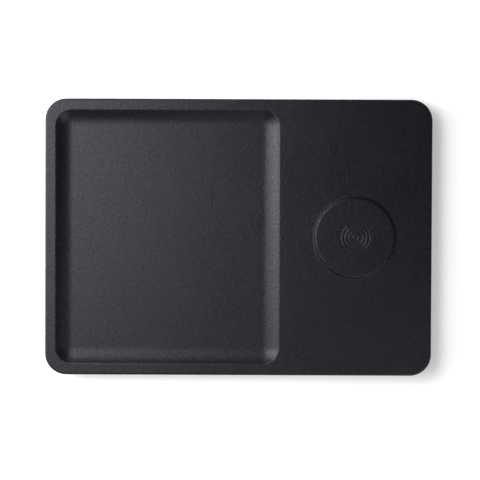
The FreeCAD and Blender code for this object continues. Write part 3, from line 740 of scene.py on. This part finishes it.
def black_leather():
    """Matt black leather with a fine pebbled grain, soft hollows between the pebbles, and pores, and
    painted shade in the creases between the pebbles.
    """
    shader = Shader("leather")
    place = warped(shader, 1.4, 0.5)
    pebbles = shader.cells(0.62, "DISTANCE_TO_EDGE", place)
    crease = shader.ramp(pebbles, 0.02, 0.22)
    pores = shader.noise(0.16, 2.0, 0.6)
    hollows = shader.noise(1.9, 3.0, 0.65)
    broad = shader.noise(26.0, 3.0)
    height = shader.sum(shader.sum(crease, pores, 0.35), hollows, HOLLOW_DEPTH / GRAIN_DEPTH)
    # Painted shade: the creases between the pebbles are coloured darker than the pebbles themselves.
    tone = shader.blend(crease, (0.0046, 0.0049, 0.0068), (0.0071, 0.0075, 0.0102))
    faded = shader.ramp(broad, 0.3, 0.7, 0.0, 0.2)
    shader.colour(shader.blend(faded, tone, (0.0105, 0.0108, 0.0138)))
    wear = shader.ramp(broad, 0.25, 0.75, LEATHER_ROUGHNESS - 0.015, LEATHER_ROUGHNESS + 0.015)
    shader.roughness(shader.sum(wear, shader.ramp(hollows, 0.3, 0.7, -0.03, 0.03)))
    shader.set(Specular_IOR_Level=LEATHER_SPECULAR, Specular_Tint=LEATHER_GLOSS_TINT)
    shader.bump(height, GRAIN_DEPTH)
    return shader.material


def fibreboard():
    """Raw medium-density fibreboard: short fibres in warm brown."""
    shader = Shader("fibreboard")
    fibres = shader.noise(0.5, 4.0, 0.65, shader.stretched((1.0, 0.35, 2.2)))
    specks = shader.cells(0.9)
    tone = shader.blend(fibres, (0.20, 0.115, 0.055), (0.42, 0.27, 0.145))
    dark = shader.ramp(specks, 0.0, 0.18, 0.55, 0.0)
    shader.colour(shader.blend(dark, tone, (0.09, 0.05, 0.025)))
    shader.roughness(shader.ramp(fibres, 0.2, 0.8, 0.78, 0.95))
    shader.bump(shader.sum(fibres, specks, 0.3), 0.06)
    return shader.material


def moulded_plastic(name, colour, rough, texture=0.3, depth=0.012):
    """Moulded plastic with a spark-eroded texture of texture millimetres, and faint flow marks."""
    shader = Shader(name)
    texture_height = shader.noise(texture, 3.0, 0.6)
    flow = shader.noise(17.0, 2.0)
    bright = tuple(c * 1.35 + 0.002 for c in colour)
    shader.colour(shader.blend(shader.ramp(flow, 0.3, 0.7), colour, bright))
    broad_rough = shader.ramp(flow, 0.3, 0.7, rough - 0.04, rough + 0.04)
    shader.roughness(shader.sum(broad_rough, texture_height, 0.06))
    shader.bump(texture_height, depth)
    return shader.material


def liner_fabric():
    """Short-napped microfibre, brushed one way, with a soft sheen."""
    shader = Shader("liner_fabric")
    nap = shader.noise(0.22, 3.0, 0.7, shader.stretched((1.0, 0.4, 1.0)))
    brushed = shader.noise(14.0, 3.0)
    tone = shader.blend(nap, (0.008, 0.008, 0.009), (0.03, 0.03, 0.034))
    raised = shader.ramp(brushed, 0.35, 0.65, 0.0, 0.5)
    shader.colour(shader.blend(raised, tone, (0.035, 0.035, 0.04)))
    shader.roughness(shader.ramp(nap, 0.2, 0.8, 0.85, 1.0))
    shader.set(Sheen_Weight=0.35, Sheen_Roughness=0.4, Sheen_Tint=(0.6, 0.6, 0.65, 1.0))
    shader.bump(nap, 0.09)
    return shader.material


def foot_rubber():
    """Matt black rubber with a dusty bloom and fine moulding texture."""
    shader = Shader("foot_rubber")
    grain = shader.noise(0.25, 3.0, 0.6)
    bloom = shader.noise(3.0, 4.0, 0.6)
    dusty = shader.ramp(bloom, 0.45, 0.75)
    shader.colour(shader.blend(dusty, (0.012, 0.012, 0.012), (0.035, 0.034, 0.033)))
    shader.roughness(shader.ramp(bloom, 0.3, 0.7, 0.7, 0.88))
    shader.bump(grain, 0.02)
    return shader.material


def metal(name, colour, rough, brushing=(1.0, 1.0, 1.0), size=0.4, depth=0.004):
    """Bare metal with fine marks, drawn out along an axis by brushing."""
    shader = Shader(name)
    marks = shader.noise(size, 4.0, 0.7, shader.stretched(brushing))
    stains = shader.noise(5.0, 3.0)
    dull = tuple(c * 0.78 for c in colour)
    shader.colour(shader.blend(shader.ramp(stains, 0.35, 0.7), colour, dull))
    broad_rough = shader.ramp(stains, 0.3, 0.7, rough - 0.06, rough + 0.08)
    shader.roughness(shader.sum(broad_rough, marks, 0.12))
    shader.set(Metallic=1.0)
    shader.bump(marks, depth)
    return shader.material


def stranded_copper():
    """Enamelled strands twisted together, with painted shade between the strands."""
    shader = Shader("copper_wire")
    strands = shader.cells(0.16, place=shader.stretched((1.0, 1.0, 0.8)))
    twist = shader.noise(0.9, 2.0)
    # Painted shade: each strand is coloured darker away from its middle, and darkest between the strands.
    shader.colour(shader.blend(strands, (0.62, 0.24, 0.10), (0.30, 0.09, 0.035)))
    shader.roughness(shader.ramp(twist, 0.3, 0.7, 0.25, 0.4))
    shader.set(Metallic=1.0, Coat_Weight=0.5, Coat_Roughness=0.15)
    shader.bump(strands, -0.05)
    return shader.material


def sintered(name, dark, light, rough):
    """Pressed and fired powder: fine grain with a few chips."""
    shader = Shader(name)
    grain = shader.noise(0.12, 3.0, 0.7)
    chips = shader.cells(1.6)
    tone = shader.blend(grain, dark, light)
    chipped = shader.ramp(chips, 0.0, 0.08, 0.4, 0.0)
    shader.colour(shader.blend(chipped, tone, tuple(c * 1.8 for c in light)))
    shader.roughness(shader.ramp(grain, 0.2, 0.8, rough - 0.08, rough + 0.08))
    shader.bump(grain, 0.008)
    return shader.material


def circuit_board():
    """Green solder mask over copper tracks."""
    shader = Shader("circuit_board")
    tracks = shader.cells(1.9, "DISTANCE_TO_EDGE", random=0.35)
    over = shader.ramp(tracks, 0.06, 0.12)
    weave = shader.noise(0.35, 2.0)
    shader.colour(shader.blend(over, (0.006, 0.085, 0.022), (0.004, 0.045, 0.012)))
    shader.roughness(shader.ramp(weave, 0.3, 0.7, 0.22, 0.36))
    shader.set(Coat_Weight=0.4, Coat_Roughness=0.12)
    shader.bump(shader.sum(over, weave, 0.2), -0.02)
    return shader.material


def tape():
    """Crinkled double-sided tape."""
    shader = Shader("adhesive_film")
    crinkle = shader.noise(1.2, 3.0)
    shader.colour(shader.blend(crinkle, (0.42, 0.40, 0.33), (0.60, 0.58, 0.50)))
    shader.roughness(shader.ramp(crinkle, 0.3, 0.7, 0.5, 0.7))
    shader.bump(crinkle, 0.03)
    return shader.material


def clear_plastic():
    """The lamp's frosted clear rod."""
    shader = Shader("clear_plastic")
    frost = shader.noise(0.2, 3.0)
    shader.colour(shader.blend(frost, (0.72, 0.75, 0.78), (0.85, 0.87, 0.90)))
    shader.roughness(shader.ramp(frost, 0.3, 0.7, 0.25, 0.45))
    shader.set(Transmission_Weight=0.75, IOR=1.49)
    shader.bump(frost, 0.006)
    return shader.material


def all_materials():
    """One material for each of the record's slots."""
    return {
        "black_leather": black_leather(),
        "fibreboard": fibreboard(),
        "base_plastic": moulded_plastic("base_plastic", (0.011, 0.011, 0.012), 0.52, 0.35, 0.02),
        "liner_fabric": liner_fabric(),
        "foot_rubber": foot_rubber(),
        "screw_steel": metal("screw_steel", (0.30, 0.30, 0.31), 0.34, size=0.25),
        "housing_plastic": moulded_plastic("housing_plastic", (0.03, 0.03, 0.033), 0.48),
        "copper_wire": stranded_copper(),
        "adhesive_film": tape(),
        "ferrite": sintered("ferrite", (0.02, 0.02, 0.021), (0.045, 0.045, 0.047), 0.55),
        "sensor_epoxy": moulded_plastic("sensor_epoxy", (0.05, 0.02, 0.01), 0.2, 0.5, 0.004),
        "circuit_board": circuit_board(),
        "chip_epoxy": moulded_plastic("chip_epoxy", (0.012, 0.012, 0.013), 0.5, 0.08, 0.006),
        "capacitor_ceramic": sintered("capacitor_ceramic", (0.30, 0.19, 0.11), (0.42, 0.29, 0.18), 0.4),
        "inductor_body": sintered("inductor_body", (0.05, 0.05, 0.053), (0.09, 0.09, 0.095), 0.6),
        "thermal_pad": moulded_plastic("thermal_pad", (0.22, 0.29, 0.40), 0.75, 0.5, 0.02),
        "aluminium_sheet": metal("aluminium_sheet", (0.78, 0.79, 0.80), 0.3, (0.05, 1.0, 1.0)),
        "inlet_steel": metal("inlet_steel", (0.62, 0.60, 0.56), 0.24, (1.0, 0.08, 1.0), 0.12),
        "contact_gold": metal("contact_gold", (0.95, 0.66, 0.24), 0.2, size=0.1, depth=0.001),
        "bezel_plastic": moulded_plastic("bezel_plastic", (0.009, 0.009, 0.010), 0.36, 0.2, 0.006),
        "lamp_epoxy": moulded_plastic("lamp_epoxy", (0.62, 0.62, 0.56), 0.35, 0.3, 0.004),
        "clear_plastic": clear_plastic(),
    }


def finish_cad_nodes(materials):
    """Gives every CAD node the material of its slot."""
    slots = {row["node"]: row["material_slot"] for row in frame["record"]["subparts"]}
    for name, node in frame["nodes"].items():
        node.data.materials.clear()
        node.data.materials.append(materials[slots[name]])


# ---- stage ----
CAMERA_DISTANCE = 1.1
CAMERA_ROLL = math.radians(0.24)
CAMERA_TILT = math.radians(1.3)
VIEW_WIDTH = 347.2 * MM
VIEW_CENTRE = Vector((1.03 * MM, -1.9 * MM, 0.0))
SENSOR = 36.0

LIGHT_DISTANCE = 0.85
LIGHT_SIZE = 0.4
# Each light's name, azimuth and elevation in degrees, and power in watts.
LIGHTS = [
    ("key_light", 165, 30, 5.5),
    ("left_fill", 195, 30, 1.6),
    ("raised_key_light", 150, 55, 2.66),
    ("rear_light", 120, 45, 1.4),
    ("high_rear_light", 135, 65, 0.7),
    ("high_left_light", 180, 65, 1.7),
    ("top_light", 210, 75, 0.51),
    ("front_fill", 300, 40, 1.5),
    ("high_front_fill", 315, 55, 0.56),
]
STUDIO_WHITE = (0.86, 0.86, 0.86, 1)
FLOOR_GLOW = 0.25
FAR_GLOW = 0.95
# The glow rises between these distances from the tray's middle, in millimetres.
GLOW_REACH = (400, 1500)
STUDIO_RADIUS = 4.0
BACKDROP_HEIGHT = 0.7
BACKDROP_STEPS = 96


def add_camera():
    """A camera almost straight above the tray."""
    target = Vector((VIEW_CENTRE.x, VIEW_CENTRE.y, TOP_Z))
    camera = bpy.data.objects.new("camera", bpy.data.cameras.new("camera"))
    bpy.context.scene.collection.objects.link(camera)
    camera.data.sensor_width = SENSOR
    camera.data.lens = SENSOR * CAMERA_DISTANCE / VIEW_WIDTH
    camera.data.clip_end = 5 * STUDIO_RADIUS
    back = CAMERA_DISTANCE * math.sin(CAMERA_TILT)
    camera.location = target + Vector((0, back, CAMERA_DISTANCE * math.cos(CAMERA_TILT)))
    camera.rotation_euler = (-CAMERA_TILT, 0.0, CAMERA_ROLL)
    bpy.context.scene.camera = camera


def add_area_light(name, azimuth, elevation, power):
    """A square light in a direction given in radians, aimed at the middle of the tray."""
    light = bpy.data.lights.new(name, "AREA")
    light.shape = "SQUARE"
    light.size = LIGHT_SIZE
    light.energy = power
    made = bpy.data.objects.new(name, light)
    bpy.context.scene.collection.objects.link(made)
    level = math.cos(elevation)
    made.location = LIGHT_DISTANCE * Vector(
        (level * math.cos(azimuth), level * math.sin(azimuth), math.sin(elevation))
    )
    made.rotation_mode = "QUATERNION"
    to_tray = Vector((0, 0, TOP_Z)) - made.location
    made.rotation_quaternion = to_tray.to_track_quat("-Z", "Y")


def add_dark_world():
    """A world without light of its own, so that only the lights and the studio light the tray."""
    world = bpy.data.worlds.new("studio")
    world.use_nodes = True
    world.node_tree.nodes["Background"].inputs["Strength"].default_value = 0.0
    bpy.context.scene.world = world


def studio_shader(name):
    shader = Shader(name)
    shader.set(Base_Color=STUDIO_WHITE, Roughness=0.9, Emission_Color=(1, 1, 1, 1))
    return shader


def add_stage_piece(name, points, faces, material):
    mesh = bpy.data.meshes.new(name)
    mesh.from_pydata(points, [], faces)
    mesh.materials.append(material)
    piece = bpy.data.objects.new(name, mesh)
    bpy.context.scene.collection.objects.link(piece)


def add_studio():
    """A white floor, brighter far from the tray, and a low white backdrop."""
    ground = studio_shader("floor")
    ground.set(Specular_IOR_Level=0.2)
    away = ground.add("ShaderNodeVectorMath", {0: ground.place}, operation="LENGTH")
    glow = ground.ramp(away.outputs["Value"], *GLOW_REACH, FLOOR_GLOW, FAR_GLOW)
    ground.links.new(glow, ground.surface.inputs["Emission Strength"])
    low = circle(Vector((0, 0, 0)), STUDIO_RADIUS, BACKDROP_STEPS, 0)
    add_stage_piece("floor", low, [list(range(BACKDROP_STEPS))], ground.material)

    wall = studio_shader("backdrop")
    wall.set(Emission_Strength=FAR_GLOW)
    high = circle(Vector((0, 0, 0)), STUDIO_RADIUS, BACKDROP_STEPS, BACKDROP_HEIGHT)
    faces = []
    for i in range(BACKDROP_STEPS):
        j = (i + 1) % BACKDROP_STEPS
        faces.append((i, j, BACKDROP_STEPS + j, BACKDROP_STEPS + i))
    add_stage_piece("backdrop", low + high, faces, wall.material)


def main():
    materials = all_materials()
    finish_cad_nodes(materials)
    cover = leather_cover(materials["black_leather"])
    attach(cover, "root")
    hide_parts("leather_cover")
    liner = base_liner(materials["liner_fabric"])
    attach(liner, "root")
    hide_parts("base_liner")
    add_camera()
    for name, azimuth, elevation, power in LIGHTS:
        add_area_light(name, math.radians(azimuth), math.radians(elevation), power)
    add_dark_world()
    add_studio()
    bpy.context.scene.view_settings.view_transform = "Standard"


main()
